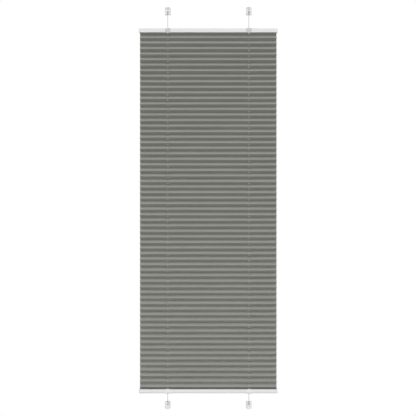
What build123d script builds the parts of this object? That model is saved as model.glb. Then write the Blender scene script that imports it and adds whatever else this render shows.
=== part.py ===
"""Pleated blind on two taut cords, with a headrail and a bottom rail that both slide on the cords.

Millimetres. X runs along the rails, +Z is up and the room side is -Y. The origin is the centre of the
four screw holes of the tension shoes, on the plane of the window frame that the shoes are screwed to.
"""

import os
from math import sqrt

from build123d import *

os.makedirs("parts", exist_ok=True)

# Overall sizes
rail_length = 500.0  # a rail with its two end caps
cord_spacing = 293.0  # between the two cords
top_cord_gap = 50.0  # bare cord between an upper shoe and the headrail
bottom_cord_gap = 30.0  # bare cord between the bottom rail and a lower shoe
cord_standoff = 12.5  # from the window frame to the cords

# Pleated fabric
fabric_side_gap = 0.3  # from the cloth's edge to the inner face of an end cap
fabric_thickness = 0.3
pleat_face = 20.0  # flat width of one face of a pleat
pleat_drop = 10.0  # height that one face takes up as the blind hangs
pleat_face_count = 129  # odd, so the first and the last face both lean back
flap_clearance = 0.8  # from the glued end of the cloth to each side of the rail's slot
cord_hole_width = 4.0  # square holes punched through every face, and round ones in the strips

# Rail section
rail_depth = 22.0
rail_height = 14.5
rail_wall = 1.2
shoulder_radius = 4.0
lip_width = 1.6  # each lip that closes in on the fabric slot
lip_thickness = 1.2
ledge_width = 1.4  # rib above the strip, on each wall
ledge_thickness = 1.0

# Stiff strip that holds the end of the cloth in a rail
strip_thickness = 1.6
strip_clearance = 0.15
strip_end_gap = 0.5

# End caps
cap_thickness = 3.0
cap_edge = 0.8
plug_length = 10.0
plug_wall = 1.5
plug_clearance = 0.15

# Cords
cord_diameter = 1.4
cord_sides = 6  # flat sides of a cord's section
crossing_bend_radius = 400.0  # faint bend where the two cords pass each other
crossing_gap = 0.45  # between the two cords where they come closest
knot_radius = 1.3
knot_length = 2.6
knot_gap = 0.1  # between a knot and the bead that it bears on

# Cord guides
guide_clearance = 0.1  # between a guide and the rail
channel_clearance = 0.3  # between a cord and its channel
block_outboard = 3.5  # guide block, from the cord towards the rail's end
block_inboard = 6.5  # guide block, from the cord towards the rail's middle
block_depth = 7.0
nose_share = 0.76  # of the wall beside the channel's mouth that its rounded nose takes up
saddle_thickness = 0.9
saddle_width = 20.0
saddle_back = 5.5  # how far the saddle reaches behind the cord
shield_shoulder = 9.5  # height on the rail where the rounded shield begins
shield_tip = 2.4  # how far the shield passes the rail's fabric edge
shield_edge = 0.4
collar_radius = 2.6
collar_height = 1.0

# Tension shoes
shoe_width = 20.0
shoe_height = 28.0
shoe_cover = 4.5  # plastic in front of the cord
shoe_dome = 4.0  # rise of the rounded outer end
shoe_corner_radius = 1.5
shoe_edge = 0.8
shoe_rim = 1.8
recess_depth = 2.0
screw_hole_diameter = 4.5
screw_head_diameter = 9.0
screw_head_sink = 2.0  # depth of the seat for the screw head
screw_inset = 10.0  # from the outer end of the shoe to the screw hole
pocket_floor = 3.0  # wall that the bead pulls against
pocket_clearance = 0.3  # past the knot
slit_clearance = 0.3  # each side of the cord, in the slit that it slips in through
bead_diameter = 5.0
bead_length = 6.0
bead_edge = 0.6
bead_clearance = 0.5
bead_bore_clearance = 0.1

# Cuts run this far past the faces that they open
overrun = 1.0

# Places worked out from the sizes
rail_body_length = rail_length - 2 * cap_thickness
fabric_width = rail_body_length - 2 * fabric_side_gap
fabric_drop = pleat_face_count * pleat_drop
pleat_depth = sqrt(pleat_face**2 - pleat_drop**2)
rail_gap = fabric_drop - 2 * lip_thickness
top_z = (2 * shoe_height + top_cord_gap + bottom_cord_gap + 2 * rail_height + rail_gap) / 2
shoe_inner_z = top_z - shoe_height
headrail_edge_z = shoe_inner_z - top_cord_gap - rail_height
bottom_rail_edge_z = bottom_cord_gap + rail_height - shoe_inner_z
cord_x = cord_spacing / 2
cord_y = -cord_standoff
cord_radius = cord_diameter / 2
cord_hole_radius = cord_hole_width / 2
inner_depth = rail_depth - 2 * rail_wall
slot_depth = inner_depth - 2 * lip_width
glued_flap = slot_depth - 2 * flap_clearance
inner_radius = shoulder_radius - rail_wall
ledge_low = lip_thickness + strip_thickness + strip_clearance
chamber_low = ledge_low + ledge_thickness
chamber_high = rail_height - rail_wall
run_height = (chamber_low + chamber_high) / 2
run_offset = (cord_diameter + crossing_gap) / sqrt(2)  # of a cord's ends and middle from its mean line
channel_width = cord_diameter + 2 * channel_clearance
channel_height = channel_width + 2 * run_offset
nose_radius = nose_share * (chamber_high - chamber_low - channel_height) / 2
cord_bend_radius = nose_radius + channel_clearance + cord_radius
saddle_low = rail_height + guide_clearance
saddle_high = saddle_low + saddle_thickness
shoe_depth = cord_standoff + shoe_cover
pocket_height = bead_length + knot_gap + knot_length + pocket_clearance
bead_bore_radius = cord_radius + bead_bore_clearance
bead_bottom = shoe_inner_z + pocket_floor
bead_top = bead_bottom + bead_length

# The two ends of the blind, and the two sides, as signs
ends = {"headrail": 1, "bottom_rail": -1}
sides = {"left": -1, "right": 1}
shoe_rows = {"upper": 1, "lower": -1}

# How a rectangle or a boss stands on the point that it is placed at
standing = (Align.CENTER, Align.MIN)
hanging = (Align.CENTER, Align.MAX)


def finish(piece, name):
    """Label a finished piece and write it to its file."""
    piece.part.label = name
    export_step(piece.part, f"parts/{name}.step")


def edge_z(up):
    """Height of a rail's fabric edge."""
    return headrail_edge_z if up > 0 else bottom_rail_edge_z


def section_plane(up, x=0):
    """Plane across a rail at its fabric edge: local X points back, local Y away from the fabric."""
    return Plane(origin=(x, cord_y, edge_z(up)), x_dir=(0, 1, 0), z_dir=(up, 0, 0))


def cord_plane(up, side):
    """Plane of the cords at a guide: local X points to the rail's middle, local Y away from the fabric."""
    origin = (side * cord_x, cord_y, edge_z(up))
    return Plane(origin=origin, x_dir=(-side, 0, 0), z_dir=(0, side * up, 0))


def shoe_plane(up, side):
    """Plane of a shoe's back, at the middle of its inner end: local Y points to its outer end."""
    origin = (side * cord_x, 0, up * shoe_inner_z)
    return Plane(origin=origin, x_dir=(up, 0, 0), z_dir=(0, -1, 0))


def round_topped(width, low, high, radius, mode=Mode.ADD):
    """Rectangle from low to high with its two upper corners rounded, drawn into the sketch in hand."""
    with Locations((0, low)):
        RectangleRounded(width, high - low, radius, align=standing, mode=mode)
        Rectangle(width, (high - low) / 2, align=standing, mode=mode)


def cord_holes(level):
    """Holes for both cords, cut through the flat piece in hand at a height."""
    with Locations((-cord_x, cord_y, level), (cord_x, cord_y, level)):
        Cylinder(cord_hole_radius, strip_thickness + 2 * overrun, mode=Mode.SUBTRACT)


def make_rail(name, up):
    """Extruded rail: a cord chamber with rounded shoulders over a lipped groove for the strip."""
    with BuildPart() as rail:
        with BuildSketch(section_plane(up)):
            round_topped(rail_depth, 0, rail_height, shoulder_radius)
            round_topped(inner_depth, lip_thickness, chamber_high, inner_radius, Mode.SUBTRACT)
            Rectangle(slot_depth, lip_thickness, align=standing, mode=Mode.SUBTRACT)
            with Locations((0, ledge_low + ledge_thickness / 2)):
                with GridLocations(inner_depth - ledge_width, 0, 2, 1):
                    Rectangle(ledge_width, ledge_thickness)
        extrude(amount=rail_body_length / 2, both=True)
        for side in sides.values():
            # Cut-out that the block of a cord guide drops into
            with BuildSketch(cord_plane(up, side)):
                with Locations(((block_inboard - block_outboard) / 2, chamber_high - overrun)):
                    cut_length = block_inboard + block_outboard + 2 * guide_clearance
                    Rectangle(cut_length, rail_wall + 2 * overrun, align=standing)
            extrude(amount=block_depth / 2 + guide_clearance, both=True, mode=Mode.SUBTRACT)
    finish(rail, name)


def make_end_cap(name, up, side):
    """Moulded cap with the rail's outline and a hollow plug that fits the cord chamber."""
    outward = side * up
    with BuildPart() as cap:
        with BuildSketch(section_plane(up, side * rail_body_length / 2)):
            round_topped(rail_depth, 0, rail_height, shoulder_radius)
        extrude(amount=outward * cap_thickness)
        outer_face = faces().sort_by(Axis.X)[-1 if side > 0 else 0]
        chamfer(outer_face.edges(), cap_edge)
        with BuildSketch(section_plane(up, side * rail_body_length / 2)):
            plug_low = chamber_low + plug_clearance
            plug_high = chamber_high - plug_clearance
            plug_depth = inner_depth - 2 * plug_clearance
            round_topped(plug_depth, plug_low, plug_high, inner_radius)
            hollow_depth = plug_depth - 2 * plug_wall
            hollow_low = plug_low + plug_wall
            hollow_high = plug_high - plug_wall
            round_topped(hollow_depth, hollow_low, hollow_high, inner_radius - plug_wall, Mode.SUBTRACT)
        extrude(amount=-outward * plug_length)
    finish(cap, name)


def make_strip(name, up):
    """Stiff strip on the rail's lips, with the end of the cloth glued to its outer face."""
    with BuildPart() as strip:
        with BuildSketch(section_plane(up)):
            with Locations((0, lip_thickness)):
                Rectangle(inner_depth - 2 * strip_clearance, strip_thickness, align=standing)
        extrude(amount=rail_body_length / 2 - strip_end_gap, both=True)
        cord_holes(edge_z(up) + up * (lip_thickness + strip_thickness / 2))
    finish(strip, name)


def make_cord_guide(name, up, side):
    """Clip over the rail's front shoulder, with a block inside the rail that turns both cords."""
    section = section_plane(up, side * cord_x)
    with BuildPart() as guide:
        # Saddle that follows the rail's outline from behind the cord to below the front edge
        with BuildSketch(section):
            outer_depth = rail_depth + 2 * (guide_clearance + saddle_thickness)
            inner_saddle_depth = rail_depth + 2 * guide_clearance
            outer_radius = shoulder_radius + guide_clearance + saddle_thickness
            seat_radius = shoulder_radius + guide_clearance
            round_topped(outer_depth, -shield_tip, saddle_high, outer_radius)
            round_topped(inner_saddle_depth, -shield_tip, saddle_low, seat_radius, Mode.SUBTRACT)
            with Locations((saddle_back, -shield_tip)):
                corner = (Align.MIN, Align.MIN)
                Rectangle(outer_depth, saddle_high + shield_tip, align=corner, mode=Mode.SUBTRACT)
        extrude(amount=saddle_width / 2, both=True)
        # Rounded shield on the front
        front_face = Plane(
            origin=(side * cord_x, cord_y - rail_depth / 2, edge_z(up)), x_dir=(up, 0, 0), z_dir=(0, -1, 0)
        )
        with BuildSketch(front_face):
            with Locations((0, shield_shoulder)):
                Rectangle(saddle_width, shield_shoulder + shield_tip, align=hanging)
                Ellipse(saddle_width / 2, shield_shoulder + shield_tip, mode=Mode.SUBTRACT)
        extrude(amount=outer_depth / 2, mode=Mode.SUBTRACT)
        shield = faces().filter_by(Axis.Y).sort_by(Axis.Y)[0]
        chamfer(shield.edges().filter_by(Axis.X, reverse=True), shield_edge)
        # Block in the cord chamber, and a collar where the cord comes in
        with BuildSketch(cord_plane(up, side)):
            with Locations(((block_inboard - block_outboard) / 2, chamber_low + guide_clearance)):
                block_height = saddle_high - chamber_low - guide_clearance
                Rectangle(block_inboard + block_outboard, block_height, align=standing)
        extrude(amount=block_depth / 2, both=True)
        collar_base = Plane(origin=(side * cord_x, cord_y, edge_z(up) + up * saddle_high), z_dir=(0, 0, up))
        with BuildSketch(collar_base):
            Circle(collar_radius)
        extrude(amount=collar_height)
        with BuildSketch(collar_base.offset(collar_height)):
            Circle(channel_width / 2)
        extrude(amount=chamber_high - saddle_high - collar_height, mode=Mode.SUBTRACT)
        # Channel: straight down past the block, and out to the rail's middle round two noses
        with BuildSketch(cord_plane(up, side)):
            with Locations((0, chamber_low)):
                Rectangle(channel_width, chamber_high - chamber_low, align=standing)
            with Locations((0, run_height)):
                Rectangle(block_inboard + overrun, channel_height, align=(Align.MIN, Align.CENTER))
            corners = vertices().filter_by_position(
                Axis.Y, run_height - channel_height / 2, run_height + channel_height / 2
            )
            fillet(corners.group_by(Axis.X)[0], nose_radius)
        extrude(amount=channel_width / 2, both=True, mode=Mode.SUBTRACT)
    finish(guide, name)


def make_shoe(name, up, side):
    """Moulded tension shoe: screwed on through its domed end, with a pocket that holds the cord's bead."""
    base = shoe_plane(up, side)
    straight_side = shoe_height - shoe_dome
    bead_room = bead_diameter / 2 + bead_clearance
    with BuildPart() as shoe:
        with BuildSketch(base) as outline:
            with BuildLine():
                Polyline(
                    (-shoe_width / 2, straight_side),
                    (-shoe_width / 2, 0),
                    (shoe_width / 2, 0),
                    (shoe_width / 2, straight_side),
                )
                ThreePointArc(
                    (-shoe_width / 2, straight_side), (0, shoe_height), (shoe_width / 2, straight_side)
                )
            make_face()
            fillet(outline.vertices(), shoe_corner_radius)
        extrude(amount=shoe_depth)
        front = faces().sort_by(Axis.Y)[0]
        chamfer(front.edges(), shoe_edge)
        # Rim round a sunk front
        with BuildSketch(base.offset(shoe_depth - recess_depth)):
            add(outline.sketch_local)
            offset(amount=-shoe_rim)
        extrude(amount=recess_depth, mode=Mode.SUBTRACT)
        # Screw hole with a seat for the head
        with Locations(base.offset(shoe_depth - recess_depth) * Location((0, shoe_height - screw_inset))):
            CounterBoreHole(screw_hole_diameter / 2, screw_head_diameter / 2, screw_head_sink)
        # Bead pocket, and the slit that the cord slips in through
        with BuildSketch(base.offset(cord_standoff - bead_room)):
            with Locations((0, pocket_floor)):
                Rectangle(2 * bead_room, pocket_height, align=standing)
        extrude(amount=shoe_depth, mode=Mode.SUBTRACT)
        slit_width = cord_diameter + 2 * slit_clearance
        with BuildSketch(base.offset(cord_standoff - slit_width / 2)):
            Rectangle(slit_width, 2 * pocket_floor)
        extrude(amount=shoe_depth, mode=Mode.SUBTRACT)
    finish(shoe, name)


def make_cord_bead(name, up, side):
    """Turned bead that the cord is knotted behind."""
    with BuildPart() as bead:
        with BuildSketch(Plane(origin=(side * cord_x, cord_y, up * bead_bottom), z_dir=(0, 0, up))):
            Circle(bead_diameter / 2)
        extrude(amount=bead_length)
        chamfer(edges(), bead_edge)
        with BuildSketch(Plane(origin=(side * cord_x, cord_y, up * bead_bottom), z_dir=(0, 0, up))):
            Circle(bead_bore_radius)
        extrude(amount=bead_length, mode=Mode.SUBTRACT)
    finish(bead, name)


def make_cord(name, side):
    """One taut cord: across the headrail, down through the pleats, and back across the bottom rail."""
    knot_low = bead_top + knot_gap
    knot_high = knot_low + knot_length
    near_x = side * cord_x
    crossing_y = cord_y + side * run_offset
    head_run = headrail_edge_z + run_height
    bottom_run = bottom_rail_edge_z - run_height
    turns = [cord_bend_radius, crossing_bend_radius, cord_bend_radius] * 2
    with BuildPart() as cord:
        with BuildLine() as route:
            FilletPolyline(
                (near_x, cord_y, knot_high),
                (near_x, cord_y, head_run + run_offset),
                (0, crossing_y, head_run),
                (-near_x, cord_y, head_run - run_offset),
                (-near_x, cord_y, bottom_run + run_offset),
                (0, crossing_y, bottom_run),
                (near_x, cord_y, bottom_run - run_offset),
                (near_x, cord_y, -knot_high),
                radius=turns,
            )
        with BuildSketch(Plane(origin=route.line @ 0, z_dir=route.line % 0)):
            RegularPolygon(cord_radius, cord_sides)
        sweep(path=route.line)
        for up in shoe_rows.values():
            with BuildSketch(Plane(origin=(near_x, cord_y, up * knot_low), z_dir=(0, 0, up))):
                RegularPolygon(knot_radius, cord_sides)
            extrude(amount=knot_length)
    finish(cord, name)


def fold_place(fold):
    """Depth and height of a fold, counted from the top: even folds are in front, odd ones behind."""
    at_strip = fold in (0, pleat_face_count)
    reach = (glued_flap if at_strip else pleat_depth) / 2
    forward = -1 if fold % 2 == 0 else 1
    return cord_y + forward * reach, headrail_edge_z + lip_thickness - fold * pleat_drop


def make_fabric(name):
    """One sheet of cloth in sharp pleats, with a flap at each end and two cord holes in every face."""
    slant_thickness = fabric_thickness * pleat_face / pleat_drop
    folds = [fold_place(fold) for fold in range(pleat_face_count + 1)]
    front_side = [(depth - slant_thickness / 2, height) for depth, height in folds]
    back_side = [(depth + slant_thickness / 2, height) for depth, height in folds]
    with BuildPart() as fabric:
        with BuildSketch(Plane.YZ):
            with BuildLine():
                Polyline(*front_side, *reversed(back_side), close=True)
            make_face()
            with Locations((cord_y, folds[0][1])):
                Rectangle(glued_flap, fabric_thickness, align=hanging)
            with Locations((cord_y, folds[-1][1])):
                Rectangle(glued_flap, fabric_thickness, align=standing)
        extrude(amount=fabric_width / 2, both=True)
        middle_z = (folds[0][1] + folds[-1][1]) / 2
        with Locations((-cord_x, cord_y, middle_z), (cord_x, cord_y, middle_z)):
            Box(cord_hole_width, cord_hole_width, fabric_drop + 2 * overrun, mode=Mode.SUBTRACT)
    finish(fabric, name)


for end, up in ends.items():
    make_rail(end, up)
    make_strip(f"{end}_fabric_strip", up)
    for side_name, side in sides.items():
        make_end_cap(f"{end}_{side_name}_end_cap", up, side)
        make_cord_guide(f"{end}_{side_name}_cord_guide", up, side)

for row, up in shoe_rows.items():
    for side_name, side in sides.items():
        make_shoe(f"{row}_{side_name}_shoe", up, side)
        make_cord_bead(f"{row}_{side_name}_cord_bead", up, side)

for side_name, side in sides.items():
    make_cord(f"{side_name}_tension_cord", side)

make_fabric("pleated_fabric")
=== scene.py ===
import math

import bmesh
import bpy
from mathutils import Matrix, Vector


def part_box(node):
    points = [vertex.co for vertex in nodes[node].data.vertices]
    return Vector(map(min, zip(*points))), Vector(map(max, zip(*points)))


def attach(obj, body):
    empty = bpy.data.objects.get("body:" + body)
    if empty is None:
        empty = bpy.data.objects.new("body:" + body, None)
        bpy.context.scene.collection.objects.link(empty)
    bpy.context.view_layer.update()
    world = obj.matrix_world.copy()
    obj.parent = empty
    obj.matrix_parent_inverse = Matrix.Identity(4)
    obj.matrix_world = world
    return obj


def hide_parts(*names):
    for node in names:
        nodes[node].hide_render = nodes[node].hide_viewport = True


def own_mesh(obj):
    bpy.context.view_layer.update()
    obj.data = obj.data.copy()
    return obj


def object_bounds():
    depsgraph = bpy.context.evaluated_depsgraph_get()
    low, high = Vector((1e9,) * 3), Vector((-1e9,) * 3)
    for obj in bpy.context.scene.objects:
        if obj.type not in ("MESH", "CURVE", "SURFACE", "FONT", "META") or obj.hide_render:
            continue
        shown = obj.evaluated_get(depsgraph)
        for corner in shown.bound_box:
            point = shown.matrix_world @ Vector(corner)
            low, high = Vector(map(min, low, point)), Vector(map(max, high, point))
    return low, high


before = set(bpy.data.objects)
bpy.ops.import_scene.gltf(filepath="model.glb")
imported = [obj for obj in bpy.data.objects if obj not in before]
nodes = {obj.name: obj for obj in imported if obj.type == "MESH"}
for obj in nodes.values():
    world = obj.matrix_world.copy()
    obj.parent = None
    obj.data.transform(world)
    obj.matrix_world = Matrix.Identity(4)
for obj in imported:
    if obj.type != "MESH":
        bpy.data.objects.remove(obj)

cad_low, cad_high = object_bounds()
quarter_turn = math.pi / 2

# The blind's own names; a sign says which way a thing lies from the blind's middle
rails = {"headrail": 1, "bottom_rail": -1}
shoe_rows = {"upper": 1, "lower": -1}
sides = {"left": -1, "right": 1}
fixed_body = "mount_set"

# Pleated cloth, in metres
cloth_low, cloth_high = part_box("pleated_fabric")
face_count = 129
pleat_drop = (cloth_high.z - cloth_low.z) / face_count
pleat_face = 0.020
pleat_depth = math.sqrt(pleat_face**2 - pleat_drop**2)
cord_y = (cloth_low.y + cloth_high.y) / 2
flap_length = 0.0148  # flat end of the cloth, glued to the strip in a rail
mouth_folds = 2  # folds as shallow as the flap, which enter a rail's mouth when the cloth is gathered
cloth_thickness = 0.0003
seam = 65.12  # where the two halves of the cloth meet, counted in folds: just past a back fold
rows_a_face = 4
outer_columns = 8
inner_columns = 20
unit_half = 0.5  # half of the unit square that a stretch of cloth is made from
hole_radius = 0.0018
holed_half = pleat_face / 2  # half the width of the square round a cord hole
fold_radius = 0.0005
fold_segments = 2
least_fold = math.radians(20)  # an edge that bends more than this is a fold
weld = 0.00002  # points nearer than this are one

# How the folds stray from straight lines
wander = 0.00010
wander_waves = ((9.0, 2.4), (23.0, -1.7))  # radians a metre along a fold, radians from fold to fold
wander_shares = (1.0, 0.6)  # of the wander, one for each wave
lift_share = 0.6  # of the wander that goes up or down
pucker = 0.00045  # how far a fold is pulled up or down beside a cord
pucker_beats = {-1: 2.7, 1: 4.3}  # radians from fold to fold, at the left cord and at the right
fold_dip = 0.0018  # how far the back folds sink beside the cords
pucker_reach = 0.005  # along a fold, from the cord to where the pull fades

# Cords, in metres
bead_low, bead_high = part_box("upper_right_cord_bead")
cord_x = (bead_low.x + bead_high.x) / 2
knot_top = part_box("left_tension_cord")[1].z
cord_radius = 0.0007
cord_sides = 12
cord_steps = 24
knot_length = 0.0026
knot_strand = 0.00042  # radius
knot_coil = 0.00085  # radius, to the middle of the strand
knot_rise = 0.0017
knot_turns = 2
knot_steps = 40
run_height = 0.008625  # of the cords inside a rail, from its fabric edge
run_offset = 0.00131  # of a cord's ends and middle from its mean line in a rail
bend_radius = 0.0028
bend_steps = 8

# Camera: level and straight on, at a distance that gives the photograph's slight perspective
camera_distance = 5.0
frame_height = 1.5036  # what the picture's side covers at the cords
camera_x = -0.0010  # the picture's middle, from the blind's own
camera_z = 0.0002
sensor_width = 36.0
camera_reach = 60.0  # nothing farther away is drawn

# Studio
white = (1, 1, 1, 1)
floor_drop = 0.20  # from the lower shoes to the floor
floor_radius = 1.3  # its far edge is seen just below the lower shoes
floor_sides = 96
floor_grey = (0.60, 0.60, 0.60, 1)
floor_rough = 0.9
floor_lift = 0.57  # brings the floor up to white where no shadow falls
fill_strength = 0.28

# Lamps, with angles in degrees; the rear one comes in too low to reach the front of the pleats,
# and isn't mirrored, which keeps its glare off the tops of the shoes and the bottom rail
lamps = {
    "key": dict(strength=1.65, elevation=38, azimuth=6, softness=50),
    "front": dict(strength=0.70, elevation=0, azimuth=0, softness=40),
    "rear": dict(strength=1.5, elevation=18, azimuth=186, softness=24, mirrored=False),
}

# How the finishes vary
noise_span = (0.3, 0.7)  # most values of a noise lie in it
cloud_scale = 8.0
cloud_spread = 0.022
gloss_spread = 0.06

# Cloth finish
cloth_grey = (0.326, 0.330, 0.301, 1)
cloth_rough = 0.86
cloth_sheen = 0.08
cloth_sheen_rough = 0.5
cloth_cloud_detail = 3.0
threads_a_metre = 2200.0
thread_change = (-0.2, 0.2)  # of the two thread waves' product, from weft on top to warp on top
thread_spread = 0.04
thread_strength = 0.5
thread_depth = 0.00008
slub_stretch = (14.0, 900.0, 1.0)
slub_spread = 0.045
crease_reach = (0.0002, 0.0011)
crease_lift = 0.10

# Cord finish
cord_grey = (0.34, 0.34, 0.325, 1)
strand_pitch = 0.0042
strands_round = 4.0
strand_span = (-0.4, 1.0)  # from the gaps between the strands to their tops
# painted shade in the gaps between the strands, paler on their tops
strand_painted_shades = (0.72, 1.08)
strand_roughs = (0.9, 0.6)
strand_strength = 0.6
strand_depth = 0.00012

# Finishes of the rigid pieces; drawn is how far their draw lines vary the shade
coat_cloud_detail = 4.0
grain_spread = 0.015
grain_strength = 0.35
draw_stretch = (3.0, 1400.0, 1400.0)
painted = dict(grain_scale=1500.0, grain_depth=0.00006, drawn=0.012)
extruded = dict(grain_scale=1800.0, grain_depth=0.00003, drawn=0.010)
moulded = dict(grain_scale=2400.0, grain_depth=0.00003, drawn=0.0)
fine_moulded = dict(grain_scale=2600.0, grain_depth=0.00002, drawn=0.0)
finishes = {
    "rail_paint": dict(painted, colour=(0.752, 0.752, 0.749, 1), rough=0.42),
    "end_cap_plastic": dict(moulded, colour=(0.742, 0.742, 0.737, 1), rough=0.48),
    "strip_plastic": dict(extruded, colour=(0.720, 0.720, 0.710, 1), rough=0.55),
    # One plastic for all four beads: the lower copy is painted paler than the upper one, as painted light
    # in the lower shoes' pockets and painted shade in the upper ones
    "bead_plastic_upper": dict(moulded, colour=(0.560, 0.560, 0.545, 1), rough=0.50),
    "bead_plastic_lower": dict(moulded, colour=(0.840, 0.840, 0.830, 1), rough=0.50),
    "shoe_plastic": dict(fine_moulded, colour=(0.745, 0.745, 0.742, 1), rough=0.34),
    # One plastic for all four guides: the headrail copy is painted darker than the bottom rail's, as
    # painted shade on the headrail guides
    "guide_plastic_headrail": dict(fine_moulded, colour=(0.545, 0.545, 0.538, 1), rough=0.40),
    "guide_plastic_bottom_rail": dict(fine_moulded, colour=(0.795, 0.795, 0.787, 1), rough=0.40),
}


def add_object(name, mesh):
    """Put a finished mesh into the scene."""
    piece = bpy.data.objects.new(name, mesh)
    bpy.context.scene.collection.objects.link(piece)
    return piece


def smooth_piece(name, bm, material):
    """Turn a bmesh into a smooth-shaded piece with a finish."""
    bmesh.ops.recalc_face_normals(bm, faces=bm.faces)
    for face in bm.faces:
        face.smooth = True
    mesh = bpy.data.meshes.new(name)
    bm.to_mesh(mesh)
    bm.free()
    mesh.materials.append(material)
    return add_object(name, mesh)


def only(kind, items):
    """Those of some mixed mesh elements that are of one kind."""
    return [item for item in items if isinstance(item, kind)]


# Node helpers
def new_group(name, inputs, outputs):
    """Shader node group with named sockets; inputs are (name, socket kind, default)."""
    group = bpy.data.node_groups.new(name, "ShaderNodeTree")
    for title, kind, default in inputs:
        socket = group.interface.new_socket(title, in_out="INPUT", socket_type=kind)
        socket.default_value = default
    for title, kind in outputs:
        group.interface.new_socket(title, in_out="OUTPUT", socket_type=kind)
    entry = group.nodes.new("NodeGroupInput")
    leave = group.nodes.new("NodeGroupOutput")
    return group, entry, leave


def add_node(tree, kind, links=None, **settings):
    """Add a node with its settings; links gives the socket or value that feeds each input."""
    node = tree.nodes.new(kind)
    for key, value in settings.items():
        setattr(node, key, value)
    for key, value in (links or {}).items():
        if isinstance(value, bpy.types.NodeSocket):
            tree.links.new(value, node.inputs[key])
        else:
            node.inputs[key].default_value = value
    return node


def math_node(tree, operation, first, second=0.0, third=0.0, clamp=False):
    """One sum, as a socket."""
    links = {0: first, 1: second, 2: third}
    return add_node(tree, "ShaderNodeMath", links, operation=operation, use_clamp=clamp).outputs[0]


def product(tree, *factors):
    """Several values multiplied, as a socket."""
    total = factors[0]
    for factor in factors[1:]:
        total = math_node(tree, "MULTIPLY", total, factor)
    return total


def mix_values(tree, share, first, second):
    """Mix two values, as a socket; a Mix node has values at its inputs 2 and 3."""
    links = {0: share, 2: first, 3: second}
    return add_node(tree, "ShaderNodeMix", links, data_type="FLOAT").outputs[0]


def shade_colour(tree, colour, shade):
    """A colour times a shade, as a socket; a Mix node has colours at its inputs 6 and 7."""
    links = {0: 1.0, 6: colour, 7: shade}
    return add_node(tree, "ShaderNodeMix", links, data_type="RGBA", blend_type="MULTIPLY").outputs[2]


def map_range(tree, value, low, high, to_low, to_high):
    """Map a value from one range to another, held at the ends, as a socket."""
    links = {"Value": value, "From Min": low, "From Max": high, "To Min": to_low, "To Max": to_high}
    return add_node(tree, "ShaderNodeMapRange", links).outputs["Result"]


def vary(tree, noise, spread, middle=1.0):
    """Turn a noise into a middle value, give or take a spread, as a socket."""
    return map_range(tree, noise, *noise_span, middle - spread, middle + spread)


def noise_at(tree, point, scale=1.0, detail=2.0):
    """Noise at a point, as a socket."""
    links = {"Vector": point, "Scale": scale, "Detail": detail}
    return add_node(tree, "ShaderNodeTexNoise", links).outputs["Fac"]


def stretched(tree, point, scale):
    """A point scaled along each axis, as a socket."""
    return add_node(tree, "ShaderNodeMapping", {"Vector": point, "Scale": scale}).outputs[0]


def new_material(name):
    """Material with a Principled shader; gives the tree and the shader too."""
    material = bpy.data.materials.new(name)
    material.use_nodes = True
    tree = material.node_tree
    return material, tree, tree.nodes["Principled BSDF"]


def add_bump(tree, shader, height, strength, distance):
    """Let a height drive the shader's normal."""
    links = {"Height": height, "Strength": strength, "Distance": distance}
    bump = add_node(tree, "ShaderNodeBump", links)
    tree.links.new(bump.outputs["Normal"], shader.inputs["Normal"])


def object_point(tree):
    """Object coordinates of the surface, as a socket."""
    return add_node(tree, "ShaderNodeTexCoord").outputs["Object"]


# Shared effects
def make_mottle_group():
    """Slow drift of shade, fine grain and draw lines, from a point."""
    group, entry, leave = new_group(
        "mottle",
        [
            ("Point", "NodeSocketVector", (0, 0, 0)),
            ("Grain Scale", "NodeSocketFloat", painted["grain_scale"]),
        ],
        [("Cloud", "NodeSocketFloat"), ("Grain", "NodeSocketFloat"), ("Lines", "NodeSocketFloat")],
    )
    point = entry.outputs["Point"]
    group.links.new(noise_at(group, point, cloud_scale, coat_cloud_detail), leave.inputs["Cloud"])
    group.links.new(noise_at(group, point, entry.outputs["Grain Scale"]), leave.inputs["Grain"])
    group.links.new(noise_at(group, stretched(group, point, draw_stretch)), leave.inputs["Lines"])
    return group


def make_weave_group():
    """Plain weave from a flat map: height of the threads, where the warp is on top, and weft slubs."""
    group, entry, leave = new_group(
        "weave",
        [("Map", "NodeSocketVector", (0, 0, 0)), ("Threads a Metre", "NodeSocketFloat", threads_a_metre)],
        [("Height", "NodeSocketFloat"), ("Warp", "NodeSocketFloat"), ("Slub", "NodeSocketFloat")],
    )
    flat = add_node(group, "ShaderNodeSeparateXYZ", {0: entry.outputs["Map"]})
    beat = math_node(group, "MULTIPLY", entry.outputs["Threads a Metre"], math.pi)
    across = math_node(group, "SINE", product(group, flat.outputs["X"], beat))
    along = math_node(group, "SINE", product(group, flat.outputs["Y"], beat))
    warp = map_range(group, product(group, across, along), *thread_change, 0.0, 1.0)
    warp_round = math_node(group, "ABSOLUTE", across)
    weft_round = math_node(group, "ABSOLUTE", along)
    group.links.new(mix_values(group, warp, weft_round, warp_round), leave.inputs["Height"])
    group.links.new(warp, leave.inputs["Warp"])
    slub_point = stretched(group, entry.outputs["Map"], slub_stretch)
    group.links.new(noise_at(group, slub_point), leave.inputs["Slub"])
    return group


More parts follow.
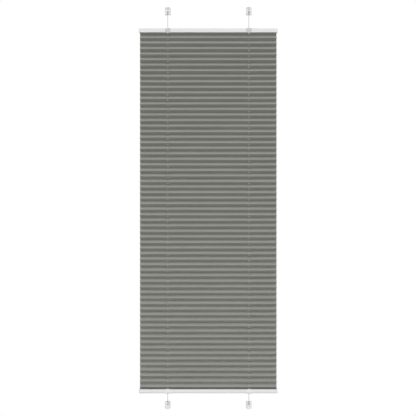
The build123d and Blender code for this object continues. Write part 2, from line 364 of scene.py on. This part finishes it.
# Materials
def cloth_material(weave):
    """Grey woven cloth, heat-set in pleats, a little paler where it is creased."""
    material, tree, shader = new_material("pleat_cloth")
    flat = add_node(tree, "ShaderNodeUVMap", uv_map="flat").outputs["UV"]
    threads = add_node(tree, "ShaderNodeGroup", {"Map": flat}, node_tree=weave)
    slub = threads.outputs["Slub"]
    place = add_node(tree, "ShaderNodeSeparateXYZ", {0: flat})
    from_fold = math_node(tree, "PINGPONG", place.outputs["Y"], pleat_face / 2)
    crease = map_range(tree, from_fold, *crease_reach, 1 + crease_lift, 1.0)
    cloud = vary(tree, noise_at(tree, flat, cloud_scale, cloth_cloud_detail), cloud_spread)
    thread = map_range(tree, threads.outputs["Warp"], 0.0, 1.0, 1 + thread_spread, 1 - thread_spread)
    shade = product(tree, vary(tree, slub, slub_spread), cloud, thread, crease)
    tree.links.new(shade_colour(tree, cloth_grey, shade), shader.inputs["Base Color"])
    tree.links.new(vary(tree, slub, gloss_spread, cloth_rough), shader.inputs["Roughness"])
    shader.inputs["Sheen Weight"].default_value = cloth_sheen
    shader.inputs["Sheen Roughness"].default_value = cloth_sheen_rough
    add_bump(tree, shader, threads.outputs["Height"], thread_strength, thread_depth)
    return material


def coated_material(name, mottle, colour, rough, grain_scale, grain_depth, drawn):
    """Paint or moulded plastic: a tint that drifts, fine grain, and faint draw lines along the piece."""
    material, tree, shader = new_material(name)
    links = {"Point": object_point(tree), "Grain Scale": grain_scale}
    look = add_node(tree, "ShaderNodeGroup", links, node_tree=mottle)
    shade = product(
        tree,
        vary(tree, look.outputs["Cloud"], cloud_spread),
        vary(tree, look.outputs["Grain"], grain_spread),
        vary(tree, look.outputs["Lines"], drawn),
    )
    tree.links.new(shade_colour(tree, colour, shade), shader.inputs["Base Color"])
    tree.links.new(vary(tree, look.outputs["Cloud"], gloss_spread, rough), shader.inputs["Roughness"])
    add_bump(tree, shader, look.outputs["Grain"], grain_strength, grain_depth)
    return material


def cord_material():
    """Fine braided cord: two sets of strands that wind opposite ways, with painted shade in the gaps
    between them.
    """
    material, tree, shader = new_material("cord_braid")
    place = add_node(tree, "ShaderNodeSeparateXYZ", {0: object_point(tree)})
    out_x = math_node(tree, "SUBTRACT", math_node(tree, "ABSOLUTE", place.outputs["X"]), cord_x)
    out_y = math_node(tree, "SUBTRACT", place.outputs["Y"], cord_y)
    wound = product(tree, math_node(tree, "ARCTAN2", out_y, out_x), strands_round)
    rise = product(tree, place.outputs["Z"], math.tau / strand_pitch)
    one_way = math_node(tree, "SINE", math_node(tree, "ADD", wound, rise))
    other_way = math_node(tree, "SINE", math_node(tree, "SUBTRACT", wound, rise))
    strands = math_node(tree, "MAXIMUM", one_way, other_way)
    # painted shade: darker in the gaps between the strands, paler on their tops
    shade = map_range(tree, strands, *strand_span, *strand_painted_shades)
    rough = map_range(tree, strands, *strand_span, *strand_roughs)
    tree.links.new(shade_colour(tree, cord_grey, shade), shader.inputs["Base Color"])
    tree.links.new(rough, shader.inputs["Roughness"])
    add_bump(tree, shader, strands, strand_strength, strand_depth)
    return material


# Cloth
def fold_place(fold):
    """Where a fold lies, counted from the top: even folds are in front, odd ones behind."""
    from_rail = min(fold, face_count - fold)
    reach = (pleat_depth if from_rail > mouth_folds else flap_length) / 2
    back = -1 if fold % 2 == 0 else 1
    return Vector((0, cord_y + back * reach, cloth_high.z - fold * pleat_drop))


def sheet_place(count):
    """Place on the sheet, counted in folds from the top; between two folds it lies on their face."""
    upper = math.floor(count)
    return fold_place(upper).lerp(fold_place(math.ceil(count)), count - upper)


def face_matrix(upper, lower, low_x, high_x):
    """Place a unit square on the slope from one fold to the next, between two places along the rail."""
    down = lower - upper
    out = Vector((1, 0, 0)).cross(down).normalized()
    matrix = Matrix.Identity(4)
    for index, column in enumerate((Vector((high_x - low_x, 0, 0)), down, out)):
        matrix.col[index].xyz = column
    middle = (upper + lower) / 2
    matrix.translation = ((low_x + high_x) / 2, middle.y, middle.z)
    return matrix


def plain_block(bm, upper, lower, low_x, high_x, columns):
    """Stretch of a face with no hole in it."""
    place = face_matrix(upper, lower, low_x, high_x)
    bmesh.ops.create_grid(bm, x_segments=columns, y_segments=rows_a_face, size=unit_half, matrix=place)


def holed_block(bm, upper, lower, centre_x):
    """Square of a face with a round hole where the cord goes through."""
    place = face_matrix(upper, lower, centre_x - holed_half, centre_x + holed_half)
    square = bmesh.ops.create_grid(
        bm, x_segments=rows_a_face, y_segments=rows_a_face, size=unit_half, matrix=place
    )
    inside = list({face for vert in square["verts"] for face in vert.link_faces})
    bmesh.ops.delete(bm, geom=inside, context="FACES_KEEP_BOUNDARY")
    border = list({edge for vert in square["verts"] if vert.is_valid for edge in vert.link_edges})
    cord_share = (cord_y - upper.y) / (lower.y - upper.y)
    shift = Matrix.Translation((0, cord_share - unit_half, 0))
    shrink = Matrix.Diagonal((1 / pleat_face, 1 / (lower - upper).length, 1, 1))
    ring = bmesh.ops.create_circle(
        bm, segments=4 * rows_a_face, radius=hole_radius, matrix=place @ shift @ shrink
    )
    rim = list({edge for vert in ring["verts"] for edge in vert.link_edges})
    bmesh.ops.bridge_loops(bm, edges=border + rim)


def cloth_face(bm, upper, lower):
    """One face of a pleat across the whole width, with its two cord holes if the cords meet it."""
    meets_cords = min(upper.y, lower.y) < cord_y < max(upper.y, lower.y)
    plain_block(bm, upper, lower, cloth_low.x, -cord_x - holed_half, outer_columns)
    plain_block(bm, upper, lower, -cord_x + holed_half, cord_x - holed_half, inner_columns)
    plain_block(bm, upper, lower, cord_x + holed_half, cloth_high.x, outer_columns)
    for side in sides.values():
        x = side * cord_x
        if meets_cords:
            holed_block(bm, upper, lower, x)
        else:
            plain_block(bm, upper, lower, x - holed_half, x + holed_half, rows_a_face)


def round_folds(bm):
    """Give the folds between faces a small radius."""
    folds = [edge for edge in bm.edges if abs(edge.calc_face_angle(0.0)) > least_fold]
    bmesh.ops.bevel(
        bm, geom=folds, offset=fold_radius, segments=fold_segments, profile=0.5, affect="EDGES", material=-1
    )


def add_flap(bm, end):
    """Flat end of the cloth, glued to the strip in the rail."""
    level = fold_place(end)
    ends = [edge for edge in bm.edges if all(abs(vert.co.z - level.z) < weld for vert in edge.verts)]
    grown = bmesh.ops.extrude_edge_only(bm, edges=ends)["geom"]
    away = 1 if level.y < cord_y else -1
    bmesh.ops.translate(bm, verts=only(bmesh.types.BMVert, grown), vec=(0, away * flap_length, 0))


def map_flat(bm, end):
    """Map where each point lay on the flat sheet, in metres from its top fold."""
    layer = bm.loops.layers.uv.new("flat")
    level = fold_place(end)
    beyond = -1 if end == 0 else 1
    for face in bm.faces:
        for loop in face.loops:
            place = loop.vert.co
            along = (cloth_high.z - place.z) * pleat_face / pleat_drop
            if abs(place.z - level.z) < weld:
                along += beyond * abs(place.y - level.y)
            loop[layer].uv = (place.x, along)


def let_folds_stray(bm, first_z, last_z):
    """Small waves along the folds and pulls beside the cords, which fade out at the two ends of a half."""
    for vert in bm.verts:
        place = vert.co
        fold = (cloth_high.z - place.z) / pleat_drop
        ease = min(1.0, abs(place.z - first_z) / pleat_drop, abs(place.z - last_z) / pleat_drop)
        wave = sum(
            share * math.sin(along * place.x + down * fold)
            for (along, down), share in zip(wander_waves, wander_shares)
        )
        side = 1 if place.x > 0 else -1
        near = math.exp(-(((abs(place.x) - cord_x) / pucker_reach) ** 2))
        behind_share = (place.y - cord_y) / pleat_depth + 1 / 2  # 0 at a front fold, 1 at a back one
        pull = near * (pucker * math.sin(pucker_beats[side] * fold) - fold_dip * behind_share)
        vert.co.y += ease * wander * wave
        vert.co.z += ease * (lift_share * wander * wave + pull)


def make_cloth_half(name, stations, end, material):
    """Half of the cloth, from the flap in its rail to the seam."""
    bm = bmesh.new()
    places = [sheet_place(count) for count in stations]
    for upper, lower in zip(places, places[1:]):
        cloth_face(bm, upper, lower)
    bmesh.ops.remove_doubles(bm, verts=bm.verts, dist=weld)
    bmesh.ops.recalc_face_normals(bm, faces=bm.faces)
    round_folds(bm)
    add_flap(bm, end)
    map_flat(bm, end)
    let_folds_stray(bm, places[0].z, places[-1].z)
    half = smooth_piece(name, bm, material)
    wall = half.modifiers.new("cloth thickness", "SOLIDIFY")
    wall.thickness = cloth_thickness
    wall.offset = 0.0
    half.modifiers.new("flat faces", "WEIGHTED_NORMAL")
    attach(half, fixed_body)
    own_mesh(half)
    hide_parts("pleated_fabric")


# Cords
def ring_at(bm, place, radius):
    """Ring of edges to draw a cord from."""
    ring = bmesh.ops.create_circle(bm, segments=cord_sides, radius=radius, matrix=place)
    return list({edge for vert in ring["verts"] for edge in vert.link_edges})


def draw_out(bm, edges, move):
    """Draw a ring out by a move; gives the new ring."""
    grown = bmesh.ops.extrude_edge_only(bm, edges=edges)["geom"]
    bmesh.ops.translate(bm, verts=only(bmesh.types.BMVert, grown), vec=move)
    return only(bmesh.types.BMEdge, grown)


def sweep_round(bm, edges, centre, axis, angle, steps, rise=(0, 0, 0)):
    """Draw a ring out round an axis, with a small rise at each step; gives the last ring."""
    ring = list({vert for edge in edges for vert in edge.verts})
    spun = bmesh.ops.spin(
        bm, geom=ring + edges, cent=centre, axis=axis, dvec=rise, angle=angle, steps=steps, use_merge=False
    )
    return only(bmesh.types.BMEdge, spun["geom_last"])


def close_ends(bm):
    """Cap the open ends of the tubes."""
    rims = [edge for edge in bm.edges if edge.is_boundary]
    bmesh.ops.holes_fill(bm, edges=rims, sides=cord_sides)


def add_knot(bm, x, up):
    """Knot behind a bead: two tight turns round the end of the cord."""
    start = up * (knot_top - knot_length / 2 - knot_rise / 2)
    place = Matrix.Translation((x + knot_coil, cord_y, start)) @ Matrix.Rotation(quarter_turn, 4, "X")
    edges = ring_at(bm, place, knot_strand)
    rise = (0, 0, up * knot_rise / knot_steps)
    sweep_round(bm, edges, (x, cord_y, start), (0, 0, 1), knot_turns * math.tau, knot_steps, rise)


def make_cord(side_name, side, material):
    """Taut line of cord from an upper shoe to the lower one below it, knotted at both ends."""
    x = side * cord_x
    bm = bmesh.new()
    edges = ring_at(bm, Matrix.Translation((x, cord_y, knot_top)), cord_radius)
    for _ in range(cord_steps):
        edges = draw_out(bm, edges, (0, 0, -2 * knot_top / cord_steps))
    for up in shoe_rows.values():
        add_knot(bm, x, up)
    close_ends(bm)
    cord = smooth_piece(f"{side_name}_cord", bm, material)
    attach(cord, fixed_body)
    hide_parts(f"{side_name}_tension_cord")


def make_cord_run(rail, up, side_name, side, material):
    """Run of one cord across the inside of a rail, from one guide round to the other."""
    fabric_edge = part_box(rail)[0 if up > 0 else 1].z
    level = fabric_edge + up * run_height
    enter = side * up
    reach = cord_x - bend_radius
    bulge = side * run_offset
    high = level + run_offset + bend_radius
    low = level - run_offset - bend_radius
    bm = bmesh.new()
    edges = ring_at(bm, Matrix.Translation((enter * cord_x, cord_y, high)), cord_radius)
    edges = sweep_round(bm, edges, (enter * reach, cord_y, high), (0, enter, 0), quarter_turn, bend_steps)
    edges = draw_out(bm, edges, (-enter * reach, bulge, -run_offset))
    edges = draw_out(bm, edges, (-enter * reach, -bulge, -run_offset))
    sweep_round(bm, edges, (-enter * reach, cord_y, low), (0, -enter, 0), quarter_turn, bend_steps)
    close_ends(bm)
    run = smooth_piece(f"{rail}_{side_name}_cord_run", bm, material)
    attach(run, f"{rail}_set")
    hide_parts(f"{side_name}_tension_cord")


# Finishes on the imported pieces
def paint(node, material):
    """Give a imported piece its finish."""
    slots = nodes[node].data.materials
    slots.clear()
    slots.append(material)


def dress_packed_pieces():
    """Finish of each rigid piece."""
    mottle = make_mottle_group()
    made = {name: coated_material(name, mottle, **look) for name, look in finishes.items()}
    for rail in rails:
        paint(rail, made["rail_paint"])
        paint(f"{rail}_fabric_strip", made["strip_plastic"])
        for side in sides:
            paint(f"{rail}_{side}_end_cap", made["end_cap_plastic"])
            # the guides take a copy of their plastic with painted shade at the headrail and painted light
            # at the bottom rail
            paint(f"{rail}_{side}_cord_guide", made[f"guide_plastic_{rail}"])
    for row in shoe_rows:
        for side in sides:
            paint(f"{row}_{side}_shoe", made["shoe_plastic"])
            # the beads take a copy of their plastic with painted shade in the upper shoes and painted light
            # in the lower ones
            paint(f"{row}_{side}_cord_bead", made[f"bead_plastic_{row}"])


# Studio
def seen_directly(tree):
    """1 for rays from the camera, a mirror or glass, else 0."""
    path = add_node(tree, "ShaderNodeLightPath")
    both = math_node(tree, "ADD", path.outputs["Is Camera Ray"], path.outputs["Is Glossy Ray"])
    return math_node(tree, "ADD", both, path.outputs["Is Transmission Ray"], clamp=True)


def make_floor():
    """Pale floor under the blind, lifted to white where no shadow falls."""
    material, tree, shader = new_material("studio_floor")
    shader.inputs["Base Color"].default_value = floor_grey
    shader.inputs["Roughness"].default_value = floor_rough
    shader.inputs["Emission Color"].default_value = white
    lift = product(tree, seen_directly(tree), floor_lift)
    tree.links.new(lift, shader.inputs["Emission Strength"])
    bm = bmesh.new()
    place = Matrix.Translation((0, 0, cad_low[2] - floor_drop))
    bmesh.ops.create_circle(bm, cap_ends=True, segments=floor_sides, radius=floor_radius, matrix=place)
    smooth_piece("studio_floor", bm, material)


def make_world():
    """Even fill light, with a white background behind the blind."""
    world = bpy.data.worlds.new("studio")
    bpy.context.scene.world = world
    world.use_nodes = True
    tree = world.node_tree
    background = tree.nodes["Background"]
    background.inputs["Color"].default_value = white
    strength = map_range(tree, seen_directly(tree), 0.0, 1.0, fill_strength, 1.0)
    tree.links.new(strength, background.inputs["Strength"])


def make_lamp(name, strength, elevation, azimuth, softness, mirrored=True):
    """Broad soft light, which glossy faces may mirror; azimuth 0 is the camera's side of the blind."""
    light = bpy.data.lights.new(name, "SUN")
    light.energy = strength
    light.angle = math.radians(softness)
    lamp = bpy.data.objects.new(name, light)
    lamp.rotation_euler = (quarter_turn - math.radians(elevation), 0, math.radians(azimuth))
    lamp.visible_glossy = mirrored
    bpy.context.scene.collection.objects.link(lamp)


def make_camera():
    """Camera at the photograph's angle."""
    lens = bpy.data.cameras.new("camera")
    lens.sensor_width = sensor_width
    lens.lens = sensor_width * (camera_distance + cord_y) / frame_height
    lens.clip_end = camera_reach
    camera = bpy.data.objects.new("camera", lens)
    camera.location = (camera_x, -camera_distance, camera_z)
    camera.rotation_euler = (quarter_turn, 0, 0)
    bpy.context.scene.collection.objects.link(camera)
    bpy.context.scene.camera = camera


bpy.context.scene.view_settings.view_transform = "Standard"
make_camera()
make_world()
for lamp_name, settings in lamps.items():
    make_lamp(lamp_name, **settings)
make_floor()
dress_packed_pieces()

cloth = cloth_material(make_weave_group())
back_fold = math.floor(seam)
upper_stations = [*range(back_fold + 1), seam]
lower_stations = [seam, *range(back_fold + 1, face_count + 1)]
make_cloth_half("upper_pleats", upper_stations, 0, cloth)
make_cloth_half("lower_pleats", lower_stations, face_count, cloth)

braid = cord_material()
for side_name, side in sides.items():
    make_cord(side_name, side, braid)
    for rail, up in rails.items():
        make_cord_run(rail, up, side_name, side, braid)
